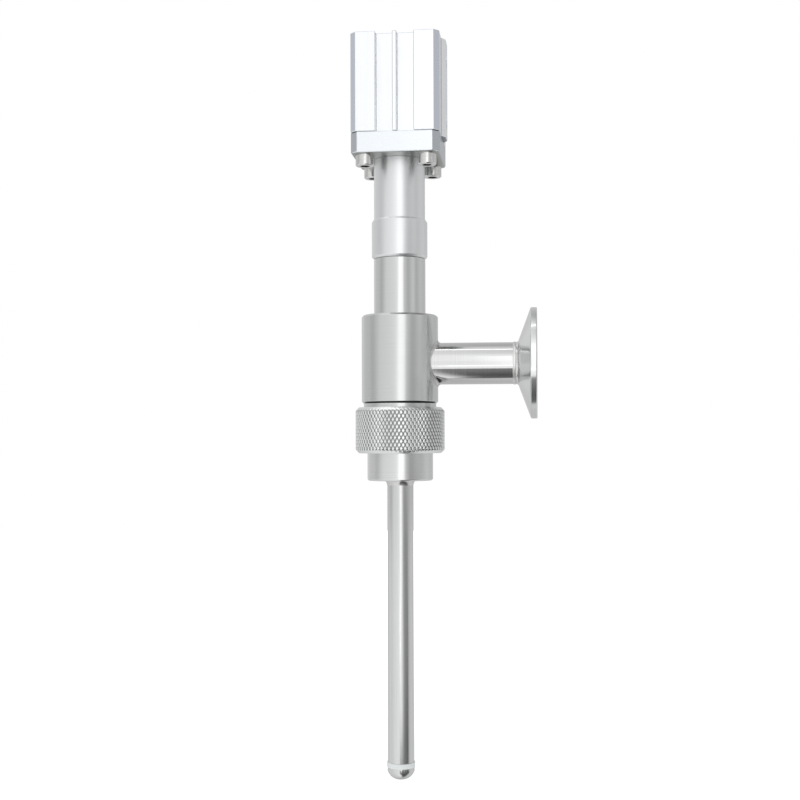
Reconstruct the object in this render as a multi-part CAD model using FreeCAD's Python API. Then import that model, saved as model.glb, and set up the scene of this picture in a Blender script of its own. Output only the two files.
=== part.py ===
import FreeCAD, Part
import math
import os

# Anti-drip filling nozzle, in millimetres. The origin is the outlet end of the nozzle tube on its
# axis, +Z points up along the axis and +X along the product inlet.

# Clearances
slip = 0.02                 # between pieces of one rigid group that are screwed, pressed or welded
run = 0.04                  # radial running clearance of a rod in its bush or seal
lip_gap = 0.03              # radial gap of a seal or wear ring to the bore it slides in
loose = 0.2                 # radial gap where two pieces only pass each other
stop_gap = 0.3              # air left at each end of the stroke

# Movement
stroke = 10.0               # stem travel from shut to fully open
nut_pitch = 2.0             # pitch of the union thread
nut_turns = 6.0             # turns that free the union nut

# Nozzle tube and head
tube_d = 12.0
tube_wall = 1.0
tube_free_length = 128.3    # outlet end to the underside of the head
tube_socket = 9.7           # length of the tube inside the head
head_d = 30.0
head_bare_height = 12.5     # part of the head that shows below the nut
head_chamfer = 0.6
flange_d = 33.0
flange_height = 4.0
spigot_d = 24.0             # spigot of the head inside the valve body
spigot_height = 5.0
funnel_top_d = 17.0
funnel_height = 11.0
head_ring_section = 2.0     # thickness of the O-ring round the head's spigot
tube_weld_leg = 1.1         # reach of the weld along the head's underside
tube_weld_height = 2.3

# Union nut and its thread
nut_wall = 2.8              # wall outside the thread, to the crests of the knurl
nut_height = 20.9
nut_lip = 2.5               # height of the inward lip under the head's flange
nut_chamfer = 1.6
glide_ring_height = 1.0
union_thread_d = 34.8
union_lead = 1.0            # lead-in chamfer of the union thread
union_thread_depth = 1.0
union_crest = 0.5           # flat on top of each thread ridge
relief_d = 33.2             # plain groove between the union thread and the body
relief_height = 2.2
nut_to_body = 1.7           # gap that shows between the nut and the body

# Valve body and inlet
body_d = 35.0
body_height = 40.4
body_chamfer = 0.9
chamber_d = 22.0
branch_height = 18.2        # inlet axis above the underside of the body
pipe_d = 19.05
pipe_wall = 1.5
pipe_end_x = 52.3
pipe_weld_leg = 1.5
ferrule_d = 50.5
ferrule_face_x = 62.7
ferrule_rim = 2.95
ferrule_back_angle = 20.0
ferrule_foot = 1.6          # radius of the cone's small end beyond the pipe
ferrule_blend = 1.2         # length of the run from the pipe's radius to the cone
ferrule_edge = 0.3
ferrule_weld_width = 1.4
ferrule_weld_crown = 0.2
gasket_groove_d = 43.5
gasket_groove_width = 3.4
gasket_groove_depth = 1.4

# Seal housing, the bright neck, and the packing round the stem
neck_d = 23.6
neck_length = 26.0
housing_thread_d = 20.0
housing_low_thread = 10.0   # length screwed into the valve body
housing_top_thread = 12.0   # length screwed into the yoke tube's collar
neck_chamfer = 0.4
packing_d = 13.0
packing_floor = 1.4         # height of the packing box floor above the body's top
packing_count = 4
packing_ring_height = 3.4
follower_height = 12.0
gland_thread_d = 15.0
gland_hex = 16.0
gland_head = 4.0
stem_bush_d = 10.0
stem_bush_length = 9.0

# Yoke tube
yoke_d = 23.4
yoke_bore = 20.6
yoke_length = 27.0          # from the collar's top to the plate
collar_d = 25.5
collar_height = 18.2
collar_top_chamfer = 1.6
collar_low_chamfer = 0.9
yoke_thread_d = 22.0
yoke_thread_length = 6.0    # length screwed into the plate

# Cylinder: front plate, barrel and rear cover
square = 40.0
plate_height = 9.5
plate_corner = 3.1
plate_edge_round = 0.9
joint_edge = 0.3            # broken edges of the plate and the barrel where they meet
top_edge = 0.25             # broken edges round the top of the barrel
plate_spigot_height = 6.5
barrel_height = 44.8
barrel_corner = 2.45
bore_d = 25.0
rib_half = 0.9              # half width of the rib in the middle of a face
panel_half = 8.6            # half width of the recess in a face
recess_depth = 3.6
port_rail_base = 7.2        # half widths of the port rail at its foot and at its face
port_rail_face = 4.0
port_rail_height = 1.9
port_d = 5.0
port_depth = 6.0
port_drill_d = 1.8
screw_spacing = 28.0
screw_d = 5.0
screw_head_d = 8.5
screw_head_height = 5.0
screw_hex = 4.0
screw_hex_depth = 2.6
screw_turn = 15.0           # how far the hex sockets happen to be turned
screw_head_edge = 0.4
screw_reach = 12.0          # length of the screw in the barrel
screw_hole_spare = 2.0      # length of the tapped hole beyond the screw
tapped_d = 4.2              # core of the long corner holes, tapped at the top for a bracket
countersink = 0.4           # at the mouth of the tapped holes
cover_height = 6.0
clip_height = 1.1
clip_groove_depth = 0.9
clip_width = 1.9
cover_depth = 0.9           # top of the circlip below the top of the barrel
bumper_height = 2.0
bumper_d = 17.0
o_ring_section = 2.1

# Piston, rod and stem
rod_d = 10.0
rod_low_reach = 13.0        # end of the piston rod below the plate
rod_end_edge = 0.5
rod_bush_d = 12.5
rod_bush_length = 6.4
rod_seal_d = 15.0
rod_seal_height = 3.2
piston_gap = 0.2
piston_tenon_d = 7.0
magnet_height = 3.0
magnet_depth = 2.7
seal_height = 3.2
seal_depth = 2.9
wear_height = 3.2
wear_depth = 1.0
stem_d = 6.0
stem_thread_d = 5.0
stem_thread_length = 8.0    # length screwed into the piston rod
lock_nut_hex = 8.0
lock_nut_height = 4.0
stem_shoulder_drop = 1.0    # shoulder of the stem below the lock nut
guide_height = 8.0
guide_hub_d = 8.0
guide_fin = 1.4             # thickness of a fin
guide_fins = 3
low_guide_clear = 3.0       # lower guide above the outlet when the stem is fully down
high_guide_z = 100.0

# Plug at the outlet
plug_d = 12.3
plug_height = 5.3
plug_side = 1.8             # straight part of the plug's side
plug_flat_d = 5.8
plug_shank_d = 7.8
plug_shank_height = 2.0
plug_tenon_d = 4.0
plug_tenon_depth = 2.2      # tenon of the stem below the plug's upper face
seal_ring_d = 12.8
seal_ring_height = 2.2
slot_width = 0.9
slot_depth = 1.0
slot_angle = 23.0

# Levels and radii worked out from the sizes above
head_z = tube_free_length
nut_z = head_z + head_bare_height
lip_top_z = nut_z + nut_lip
flange_z = lip_top_z + glide_ring_height
flange_top_z = flange_z + flange_height
spigot_top_z = flange_top_z + spigot_height
nut_top_z = nut_z + nut_height
nut_r = union_thread_d / 2 + loose + nut_wall
body_z = nut_top_z + nut_to_body
body_top_z = body_z + body_height
branch_z = body_z + branch_height
collar_z = body_top_z + neck_length
collar_top_z = collar_z + collar_height
plate_z = collar_top_z + yoke_length
plate_top_z = plate_z + plate_height
barrel_top_z = plate_top_z + barrel_height
clip_z = barrel_top_z - cover_depth - clip_height
cover_z = clip_z - cover_height
plate_spigot_z = plate_top_z + plate_spigot_height
piston_z = plate_spigot_z + bumper_height + stop_gap + stroke
piston_top_z = cover_z - bumper_height - stop_gap
rod_low_z = plate_z - rod_low_reach
lock_nut_z = rod_low_z - lock_nut_height
shoulder_z = lock_nut_z - stem_shoulder_drop
plug_z = -seal_ring_height
tube_bore_r = tube_d / 2 - tube_wall
pipe_bore_r = pipe_d / 2 - pipe_wall
half = square / 2
screw_at = screw_spacing / 2
housing_low_z = body_top_z - housing_low_thread
housing_top_z = collar_z + housing_top_thread
packing_z = body_top_z + packing_floor
follower_z = packing_z + packing_count * packing_ring_height
gland_z = follower_z + follower_height
front_port_z = plate_spigot_z + bumper_height / 2
rear_port_z = cover_z - bumper_height / 2

up = FreeCAD.Vector(0, 0, 1)
along_x = FreeCAD.Vector(1, 0, 0)


def at(x, y, z):
    return FreeCAD.Vector(x, y, z)


def corners_of_square(distance):
    return [(x * distance, y * distance) for x in (-1, 1) for y in (-1, 1)]


def rod(diameter, low, high, x=0.0, y=0.0):
    return Part.makeCylinder(diameter / 2, high - low, at(x, y, low), up)


def ring(outer_r, inner_r, low, high):
    outer = Part.makeCylinder(outer_r, high - low, at(0, 0, low), up)
    inner = Part.makeCylinder(inner_r, high - low, at(0, 0, low), up)
    return outer.cut(inner)


def turned(points):
    """Solid turned about the Z axis from (radius, height) points."""
    outline = Part.makePolygon([at(r, 0, z) for r, z in points + points[:1]])
    return Part.Face(outline).revolve(at(0, 0, 0), up, 360)


def turned_on_inlet(points):
    """Solid turned about the inlet axis from (x, radius) points."""
    outline = Part.makePolygon([at(x, 0, branch_z + r) for x, r in points + points[:1]])
    return Part.Face(outline).revolve(at(0, 0, branch_z), along_x, 360)


def hexagon(across_flats, low, high, x=0.0, y=0.0, turn=0.0):
    corner_r = across_flats / math.sqrt(3)
    points = []
    for side in range(7):
        angle = math.radians(60 * side + turn)
        points.append(at(x + corner_r * math.cos(angle), y + corner_r * math.sin(angle), low))
    return Part.Face(Part.makePolygon(points)).extrude(at(0, 0, high - low))


def o_ring(inner_r, outer_r, height):
    section_r = (outer_r - inner_r) / 2 - slip
    return Part.makeTorus((outer_r + inner_r) / 2, section_r, at(0, 0, height), up)


def edges_at(shape, height):
    near = 0.01
    return [edge for edge in shape.Edges
            if abs(edge.BoundBox.ZMin - height) < near and abs(edge.BoundBox.ZMax - height) < near]


def cut_all(shape, cutters):
    for cutter in cutters:
        shape = shape.cut(cutter)
    return shape


# Nozzle tube, head and the weld between them
def nozzle_tube():
    return ring(tube_d / 2, tube_bore_r, 0, head_z + tube_socket)


def tube_weld():
    low = head_z - tube_weld_height
    inner = tube_d / 2 + slip
    outer = inner + tube_weld_leg
    middle = at(inner + 0.36 * tube_weld_leg, 0, head_z - 0.42 * tube_weld_height)
    outline = [
        Part.Arc(at(inner, 0, low), middle, at(outer, 0, head_z)).toShape(),
        Part.makeLine(at(outer, 0, head_z), at(inner, 0, head_z)),
        Part.makeLine(at(inner, 0, head_z), at(inner, 0, low)),
    ]
    return Part.Face(Part.Wire(outline)).revolve(at(0, 0, 0), up, 360)


def head_groove_floor():
    return spigot_d / 2 + slip - head_ring_section


def head_ring_z():
    return flange_top_z + spigot_height / 2


def nozzle_head():
    socket_r = tube_d / 2 + slip
    socket_top = head_z + tube_socket
    funnel_top = socket_top + funnel_height
    outline = [
        (socket_r, head_z),
        (head_d / 2 - head_chamfer, head_z),
        (head_d / 2, head_z + head_chamfer),
        (head_d / 2, flange_z),
        (flange_d / 2, flange_z),
        (flange_d / 2, flange_top_z),
        (spigot_d / 2, flange_top_z),
        (spigot_d / 2, spigot_top_z),
        (funnel_top_d / 2, spigot_top_z),
        (funnel_top_d / 2, funnel_top),
        (tube_bore_r, socket_top),
        (socket_r, socket_top),
    ]
    half_groove = head_ring_section / 2 + slip
    groove = ring(spigot_d, head_groove_floor(), head_ring_z() - half_groove,
                  head_ring_z() + half_groove)
    return turned(outline).cut(groove)


def head_o_ring():
    return o_ring(head_groove_floor(), spigot_d / 2 + slip, head_ring_z())


# Union nut and the slip washer inside it
def knurled_nut():
    lip_r = head_d / 2 + loose
    thread_r = union_thread_d / 2 + loose
    outline = [
        (lip_r, nut_z),
        (nut_r - nut_chamfer, nut_z),
        (nut_r, nut_z + nut_chamfer),
        (nut_r, nut_top_z - nut_chamfer),
        (nut_r - nut_chamfer, nut_top_z),
        (thread_r, nut_top_z),
        (thread_r, lip_top_z),
        (lip_r, lip_top_z),
    ]
    return turned(outline)


def glide_ring():
    return ring(union_thread_d / 2 - loose, head_d / 2 + loose, lip_top_z, flange_z)


# Valve body with the union thread and the side hole for the inlet pipe
def union_thread_ridges():
    crest_r = union_thread_d / 2
    root_r = crest_r - union_thread_depth
    flank = (nut_pitch - union_crest) / 2
    points = [(root_r, flange_top_z), (crest_r - union_lead, flange_top_z)]
    low = flange_top_z + union_lead
    while low + nut_pitch <= body_z - relief_height:
        points.append((crest_r, low))
        points.append((crest_r, low + union_crest))
        points.append((root_r, low + union_crest + flank))
        low += nut_pitch
    points.append((relief_d / 2, low))
    return points[1:]


def valve_body():
    socket_r = spigot_d / 2 + slip
    socket_top = spigot_top_z + loose
    outline = [(socket_r, flange_top_z)] + union_thread_ridges() + [
        (relief_d / 2, body_z),
        (body_d / 2 - body_chamfer, body_z),
        (body_d / 2, body_z + body_chamfer),
        (body_d / 2, body_top_z - body_chamfer),
        (body_d / 2 - body_chamfer, body_top_z),
        (housing_thread_d / 2, body_top_z),
        (housing_thread_d / 2, housing_low_z),
        (chamber_d / 2, housing_low_z),
        (chamber_d / 2, socket_top),
        (socket_r, socket_top),
    ]
    side_hole = Part.makeCylinder(pipe_d / 2 + slip, body_d, at(0, 0, branch_z), along_x)
    return turned(outline).cut(side_hole)


# Inlet pipe, ferrule and their welds
def pipe_solid(start_x, end_x, radius):
    return Part.makeCylinder(radius, end_x - start_x, at(start_x, 0, branch_z), along_x)


def inlet_pipe():
    pipe = pipe_solid(0, pipe_end_x, pipe_d / 2)
    bore = pipe_solid(0, pipe_end_x, pipe_bore_r)
    chamber = rod(chamber_d, body_z, body_top_z)
    return pipe.cut(bore).cut(chamber)


def inlet_weld():
    trunk = rod(body_d, body_z, body_top_z)
    branch = pipe_solid(0, pipe_end_x, pipe_d / 2)
    joined = trunk.fuse(branch)
    seam = []
    for edge in joined.Edges:
        box = edge.BoundBox
        curved = box.XLength > 1 and box.ZLength > 1 and box.YLength > 1
        if curved and box.XMax < body_d / 2 + 0.1 and box.YMax < pipe_d / 2 + 0.1:
            seam.append(edge)
    filled = joined.makeFillet(pipe_weld_leg, seam)
    bead = filled.cut(rod(body_d + 2 * slip, body_z, body_top_z))
    return bead.cut(pipe_solid(0, pipe_end_x + 1, pipe_d / 2 + slip))


def ferrule_neck_x():
    return pipe_end_x + ferrule_weld_width / 3


def inlet_ferrule():
    rim_x = ferrule_face_x - ferrule_rim
    slope = math.tan(math.radians(ferrule_back_angle))
    neck_r = pipe_d / 2
    foot_r = neck_r + ferrule_foot
    rim_r = ferrule_d / 2
    foot_x = rim_x - (rim_r - foot_r) * slope
    outline = [
        (ferrule_neck_x(), pipe_bore_r),
        (ferrule_neck_x(), neck_r),
        (foot_x - ferrule_blend, neck_r),
        (foot_x - ferrule_blend / 3, neck_r + ferrule_foot / 3),
        (foot_x, foot_r),
        (rim_x, rim_r - ferrule_edge),
        (rim_x + ferrule_edge, rim_r),
        (ferrule_face_x - ferrule_edge, rim_r),
        (ferrule_face_x, rim_r - ferrule_edge),
        (ferrule_face_x, pipe_bore_r),
    ]
    groove_r = gasket_groove_d / 2
    edge = gasket_groove_width / 2
    foot = edge - 0.5
    groove = turned_on_inlet([
        (ferrule_face_x + 1, groove_r - edge),
        (ferrule_face_x, groove_r - edge),
        (ferrule_face_x - gasket_groove_depth, groove_r - foot),
        (ferrule_face_x - gasket_groove_depth, groove_r + foot),
        (ferrule_face_x, groove_r + edge),
        (ferrule_face_x + 1, groove_r + edge),
    ])
    return turned_on_inlet(outline).cut(groove)


def ferrule_weld():
    middle = (pipe_end_x + ferrule_neck_x()) / 2
    crown_r = pipe_d / 2 + slip
    return turned_on_inlet([
        (pipe_end_x, pipe_bore_r),
        (pipe_end_x, crown_r),
        (middle - ferrule_weld_width / 2, crown_r),
        (middle - ferrule_weld_width / 4, crown_r + ferrule_weld_crown),
        (middle + ferrule_weld_width / 4, crown_r + ferrule_weld_crown),
        (middle + ferrule_weld_width / 2, crown_r),
        (ferrule_neck_x(), crown_r),
        (ferrule_neck_x(), pipe_bore_r),
    ])


# Seal housing, stem bush, packing and gland
def seal_housing():
    low_r = housing_thread_d / 2 - slip
    bush_top = housing_low_z + stem_bush_length
    passage_r = stem_d / 2 + loose
    gland_r = gland_thread_d / 2
    outline = [
        (stem_bush_d / 2, housing_low_z),
        (low_r, housing_low_z),
        (low_r, body_top_z),
        (neck_d / 2 - neck_chamfer, body_top_z),
        (neck_d / 2, body_top_z + neck_chamfer),
        (neck_d / 2, collar_z - neck_chamfer),
        (neck_d / 2 - neck_chamfer, collar_z),
        (low_r, collar_z),
        (low_r, housing_top_z),
        (gland_r, housing_top_z),
        (gland_r, gland_z),
        (packing_d / 2, gland_z),
        (packing_d / 2, packing_z),
        (passage_r, packing_z),
        (passage_r, bush_top),
        (stem_bush_d / 2, bush_top),
    ]
    return turned(outline)


def stem_bush():
    low = housing_low_z
    return ring(stem_bush_d / 2 - slip, stem_d / 2 + run, low, low + stem_bush_length - slip)


def packing_rings():
    inner = stem_d / 2 + lip_gap
    outer = packing_d / 2 - slip
    middle = (inner + outer) / 2
    peak = 1.2
    rings = []
    for place in range(packing_count):
        low = packing_z + place * packing_ring_height
        high = low + packing_ring_height - peak
        rings.append(turned([(inner, low), (middle, low + peak), (outer, low), (outer, high),
                             (middle, high + peak - slip), (inner, high)]))
    return Part.makeCompound(rings)


def packing_follower():
    return ring(packing_d / 2 - slip, stem_d / 2 + loose, follower_z, gland_z)


def gland_nut():
    screwed = rod(gland_thread_d - 2 * slip, gland_z, housing_top_z)
    head = hexagon(gland_hex, housing_top_z, housing_top_z + gland_head)
    return screwed.fuse(head).removeSplitter().cut(
        rod(stem_d + 2 * loose, gland_z, housing_top_z + gland_head))


# Yoke tube with its collar
def yoke_tube():
    thread_r = housing_thread_d / 2
    outline = [
        (thread_r, collar_z),
        (collar_d / 2 - collar_low_chamfer, collar_z),
        (collar_d / 2, collar_z + collar_low_chamfer),
        (collar_d / 2, collar_top_z - collar_top_chamfer),
        (yoke_d / 2, collar_top_z),
        (yoke_d / 2, plate_z),
        (yoke_thread_d / 2, plate_z),
        (yoke_thread_d / 2, plate_z + yoke_thread_length),
        (yoke_bore / 2, plate_z + yoke_thread_length),
        (yoke_bore / 2, housing_top_z + loose),
        (thread_r, housing_top_z + loose),
    ]
    return turned(outline)


# Front plate, with its spigot, rod bush, rod seal, O-ring and bumper
def square_prism(corner, low, high):
    inner = half - corner
    points = [(-inner, -half), (inner, -half), (half, -inner), (half, inner),
              (inner, half), (-inner, half), (-half, inner), (-half, -inner), (-inner, -half)]
    face = Part.Face(Part.makePolygon([at(x, y, low) for x, y in points]))
    return face.extrude(at(0, 0, high - low))


def plate_ring_z():
    return plate_top_z + plate_spigot_height / 2


def plate_groove_floor():
    return bore_d / 2 - o_ring_section


def front_plate():
    plate = square_prism(plate_corner, plate_z, plate_top_z)
    plate = plate.makeFillet(plate_edge_round, edges_at(plate, plate_z))
    plate = plate.makeChamfer(joint_edge, edges_at(plate, plate_top_z))
    spigot = rod(bore_d - 2 * run, plate_top_z, plate_spigot_z)
    half_groove = o_ring_section / 2 + slip
    seal_top = plate_z + yoke_thread_length + rod_seal_height
    cutters = [
        rod(yoke_thread_d + 2 * slip, plate_z, plate_z + yoke_thread_length),
        rod(rod_seal_d, plate_z, seal_top),
        rod(rod_bush_d, plate_z, plate_spigot_z),
        ring(bore_d, plate_groove_floor(), plate_ring_z() - half_groove,
             plate_ring_z() + half_groove),
    ]
    for x, y in corners_of_square(screw_at):
        cutters.append(rod(screw_d + 2 * loose, plate_z, plate_top_z, x, y))
    return cut_all(plate.fuse(spigot), cutters)


def plate_o_ring():
    return o_ring(plate_groove_floor(), bore_d / 2, plate_ring_z())


def rod_seal():
    low = plate_z + yoke_thread_length
    outer = rod_seal_d / 2 - slip
    inner = rod_d / 2 + lip_gap
    high = low + rod_seal_height - slip
    return turned([(inner, low), (inner + 0.5, low + 0.5), (inner + 0.5, high - 0.6),
                   (inner, high), (outer, high), (outer, low)])


def rod_bush():
    low = plate_z + yoke_thread_length + rod_seal_height
    return ring(rod_bush_d / 2 - slip, rod_d / 2 + run, low, low + rod_bush_length)


def front_bumper():
    inner = rod_bush_d / 2 + loose
    return ring(bumper_d / 2, inner, plate_spigot_z, plate_spigot_z + bumper_height)


def cap_screws():
    screws = []
    for x, y in corners_of_square(screw_at):
        low = plate_z - screw_head_height
        head = rod(screw_head_d, low, plate_z, x, y)
        rims = edges_at(head, low)
        head = head.makeChamfer(screw_head_edge, rims)
        shank = rod(screw_d, plate_z, plate_top_z + screw_reach, x, y)
        socket = hexagon(screw_hex, low, low + screw_hex_depth, x, y, screw_turn)
        screws.append(head.fuse(shank).removeSplitter().cut(socket))
    return Part.makeCompound(screws)


# Barrel of the compact cylinder
def face_recesses():
    width = panel_half - rib_half
    low = plate_top_z
    cutters = []
    for side in (-panel_half, rib_half):
        front = Part.makeBox(width, recess_depth, barrel_height, at(side, -half, low))
        back = Part.makeBox(width, recess_depth, barrel_height, at(side, half - recess_depth, low))
        left = Part.makeBox(recess_depth, width, barrel_height, at(-half, side, low))
        cutters += [front, back, left]
    return cutters


def port_rail():
    points = [(half - 1, -port_rail_base), (half, -port_rail_base),
              (half + port_rail_height, -port_rail_face), (half + port_rail_height, port_rail_face),
              (half, port_rail_base), (half - 1, port_rail_base), (half - 1, -port_rail_base)]
    face = Part.Face(Part.makePolygon([at(x, y, plate_top_z) for x, y in points]))
    return face.extrude(at(0, 0, barrel_height))


def port_cutters():
    face_x = half + port_rail_height
    cutters = []
    for port_z in (front_port_z, rear_port_z):
        mouth = at(face_x - port_depth, 0, port_z)
        cutters.append(Part.makeCylinder(port_d / 2, port_depth, mouth, along_x))
        cutters.append(Part.makeCone(port_d / 2, port_d / 2 + countersink, countersink,
                                     at(face_x - countersink, 0, port_z), along_x))
        cutters.append(Part.makeCylinder(port_drill_d / 2, face_x - bore_d / 2,
                                         at(bore_d / 2 - 1, 0, port_z), along_x))
    return cutters


def cylinder_barrel():
    block = square_prism(barrel_corner, plate_top_z, barrel_top_z).fuse(port_rail())
    block = cut_all(block.removeSplitter(), face_recesses())
    block = block.makeChamfer(joint_edge, edges_at(block, plate_top_z))
    block = block.makeChamfer(top_edge, edges_at(block, barrel_top_z))
    groove_r = bore_d / 2 + clip_groove_depth
    cutters = [rod(bore_d, plate_top_z, barrel_top_z)]
    cutters.append(rod(2 * groove_r, clip_z, clip_z + clip_height + slip))
    cutters += port_cutters()
    for x, y in corners_of_square(screw_at):
        hole_end = plate_top_z + screw_reach + screw_hole_spare
        cutters.append(rod(screw_d + 2 * slip, plate_top_z, hole_end, x, y))
        cutters.append(rod(tapped_d, plate_top_z, barrel_top_z, x, y))
        cutters.append(Part.makeCone(tapped_d / 2, tapped_d / 2 + countersink, countersink,
                                     at(x, y, barrel_top_z - countersink), up))
    return cut_all(block, cutters)


# Rear cover, its O-ring, circlip and bumper
def cover_ring_z():
    return cover_z + cover_height / 2


def rear_cover():
    half_groove = o_ring_section / 2 + slip
    disc = rod(bore_d - 2 * run, cover_z, clip_z)
    groove = ring(bore_d, plate_groove_floor(), cover_ring_z() - half_groove,
                  cover_ring_z() + half_groove)
    return disc.cut(groove)


def rear_o_ring():
    return o_ring(plate_groove_floor(), bore_d / 2, cover_ring_z())


def rear_circlip():
    outer = bore_d / 2 + clip_groove_depth - slip
    inner = outer - clip_width
    clip = ring(outer, inner, clip_z, clip_z + clip_height)
    lug_r = 1.5
    lug_at = inner - lug_r + 0.3
    opening = Part.makeBox(bore_d, 2 * lug_r, clip_height, at(0, -lug_r, clip_z))
    clip = clip.cut(opening)
    for side in (-1, 1):
        angle = math.radians(side * 14)
        x = lug_at * math.cos(angle)
        y = lug_at * math.sin(angle)
        lug = rod(2 * lug_r, clip_z, clip_z + clip_height, x, y)
        bridge = Part.makeBox(outer - lug_at - 0.4, lug_r, clip_height, at(0, -lug_r / 2, clip_z))
        bridge.translate(at(lug_at, 0, 0))
        bridge.rotate(at(0, 0, 0), up, side * 14)
        clip = clip.fuse(lug).fuse(bridge).cut(rod(1.3, clip_z, clip_z + clip_height, x, y))
    return clip.removeSplitter()


def rear_bumper():
    return rod(bumper_d, cover_z - bumper_height, cover_z)


# Piston, its rings and the piston rod
def piston_height():
    return piston_top_z - piston_z


def piston_land():
    grooves = magnet_height + seal_height + wear_height + 6 * slip
    return (piston_height() - grooves) / 4


def magnet_z():
    return piston_z + piston_land()


def piston_seal_z():
    return magnet_z() + magnet_height + 2 * slip + piston_land()


def wear_ring_z():
    return piston_seal_z() + seal_height + 2 * slip + piston_land()


def piston():
    outer = bore_d / 2 - piston_gap
    body = rod(2 * outer, piston_z, piston_top_z)
    grooves = [
        ring(bore_d, outer - magnet_depth, magnet_z(), magnet_z() + magnet_height + 2 * slip),
        ring(bore_d, outer - seal_depth, piston_seal_z(), piston_seal_z() + seal_height + 2 * slip),
        ring(bore_d, outer - wear_depth, wear_ring_z(), wear_ring_z() + wear_height + 2 * slip),
        rod(piston_tenon_d + 2 * slip, piston_z, piston_top_z),
    ]
    return cut_all(body, grooves)


def piston_ring(depth, gap, low, height):
    floor = bore_d / 2 - piston_gap - depth + slip
    return ring(bore_d / 2 - gap, floor, low + slip, low + slip + height)


def magnet_ring():
    return piston_ring(magnet_depth, piston_gap + loose, magnet_z(), magnet_height)


def piston_seal():
    return piston_ring(seal_depth, lip_gap, piston_seal_z(), seal_height)


def wear_ring():
    return piston_ring(wear_depth, run, wear_ring_z(), wear_height)


def piston_rod():
    shaft = rod(rod_d, rod_low_z, piston_z)
    shaft = shaft.makeChamfer(rod_end_edge, edges_at(shaft, rod_low_z))
    tenon = rod(piston_tenon_d, piston_z, piston_top_z)
    hole = rod(stem_thread_d + 2 * slip, rod_low_z, rod_low_z + stem_thread_length + 1)
    return shaft.fuse(tenon).removeSplitter().cut(hole)


def rod_lock_nut():
    nut = hexagon(lock_nut_hex, lock_nut_z, rod_low_z)
    return nut.cut(rod(stem_thread_d + 2 * slip, lock_nut_z, rod_low_z))


# Stem, its guides and the plug
def valve_stem():
    shaft = rod(stem_d, plug_shank_height, shoulder_z)
    thread = rod(stem_thread_d, shoulder_z, rod_low_z + stem_thread_length)
    tenon = rod(plug_tenon_d, plug_z - plug_tenon_depth, plug_shank_height)
    return shaft.fuse(thread).fuse(tenon).removeSplitter()


def stem_guide(low):
    hub = rod(guide_hub_d, low, low + guide_height)
    reach = tube_bore_r - run
    limit = rod(2 * reach, low, low + guide_height)
    for place in range(guide_fins):
        fin = Part.makeBox(reach + 1, guide_fin, guide_height, at(0, -guide_fin / 2, low))
        fin.rotate(at(0, 0, 0), up, 360 / guide_fins * place)
        hub = hub.fuse(fin)
    return hub.common(limit).cut(rod(stem_d + 2 * slip, low, low + guide_height)).removeSplitter()


def stem_guide_lower():
    return stem_guide(stroke + low_guide_clear)


def stem_guide_upper():
    return stem_guide(high_guide_z)


def seal_ring():
    return ring(seal_ring_d / 2, plug_shank_d / 2 + slip, plug_z, 0)


def plug_tip():
    low = plug_z - plug_height
    edge_r = plug_d / 2
    flat_r = plug_flat_d / 2
    side_z = plug_z - plug_side
    middle = at(edge_r - 0.36 * (edge_r - flat_r), 0, side_z - 0.58 * (side_z - low))
    tenon_low = plug_z - plug_tenon_depth - slip
    bore_r = plug_tenon_d / 2 + slip
    outline = [
        Part.makeLine(at(0, 0, low), at(flat_r, 0, low)),
        Part.Arc(at(flat_r, 0, low), middle, at(edge_r, 0, side_z)).toShape(),
        Part.makeLine(at(edge_r, 0, side_z), at(edge_r, 0, plug_z)),
        Part.makeLine(at(edge_r, 0, plug_z), at(plug_shank_d / 2, 0, plug_z)),
        Part.makeLine(at(plug_shank_d / 2, 0, plug_z), at(plug_shank_d / 2, 0, plug_shank_height)),
        Part.makeLine(at(plug_shank_d / 2, 0, plug_shank_height), at(bore_r, 0, plug_shank_height)),
        Part.makeLine(at(bore_r, 0, plug_shank_height), at(bore_r, 0, tenon_low)),
        Part.makeLine(at(bore_r, 0, tenon_low), at(0, 0, tenon_low)),
        Part.makeLine(at(0, 0, tenon_low), at(0, 0, low)),
    ]
    plug = Part.Face(Part.Wire(outline)).revolve(at(0, 0, 0), up, 360)
    slot = Part.makeBox(plug_d, slot_width, slot_depth, at(-plug_d / 2, -slot_width / 2, low))
    slot.rotate(at(0, 0, 0), up, slot_angle)
    return plug.cut(slot)


pieces = [
    nozzle_tube, tube_weld, nozzle_head, head_o_ring, knurled_nut, glide_ring, valve_body,
    inlet_pipe, inlet_weld, inlet_ferrule, ferrule_weld, seal_housing, stem_bush, packing_rings,
    packing_follower, gland_nut, yoke_tube, front_plate, plate_o_ring, rod_seal, rod_bush,
    front_bumper, cap_screws, cylinder_barrel, rear_cover, rear_o_ring, rear_circlip, rear_bumper,
    piston, magnet_ring, piston_seal, wear_ring, piston_rod, rod_lock_nut, valve_stem,
    stem_guide_lower, stem_guide_upper, seal_ring, plug_tip,
]

os.makedirs("parts", exist_ok=True)
for piece in pieces:
    shape = piece()
    name = piece.__name__
    shape.exportStep("parts/" + name + ".step")
    box = shape.BoundBox
    print(f"{name:18s} valid {shape.isValid()} solids {len(shape.Solids)} volume {shape.Volume:9.1f}"
          f"  x {box.XMin:7.2f} {box.XMax:7.2f}  z {box.ZMin:7.2f} {box.ZMax:7.2f}")
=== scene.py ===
# Anti-drip filling nozzle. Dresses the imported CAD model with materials, cuts the knurl on the
# union nut and sets the studio. Lengths are in metres unless a name says mm.
import math
import bpy
from mathutils import Euler, Matrix, Vector


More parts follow.
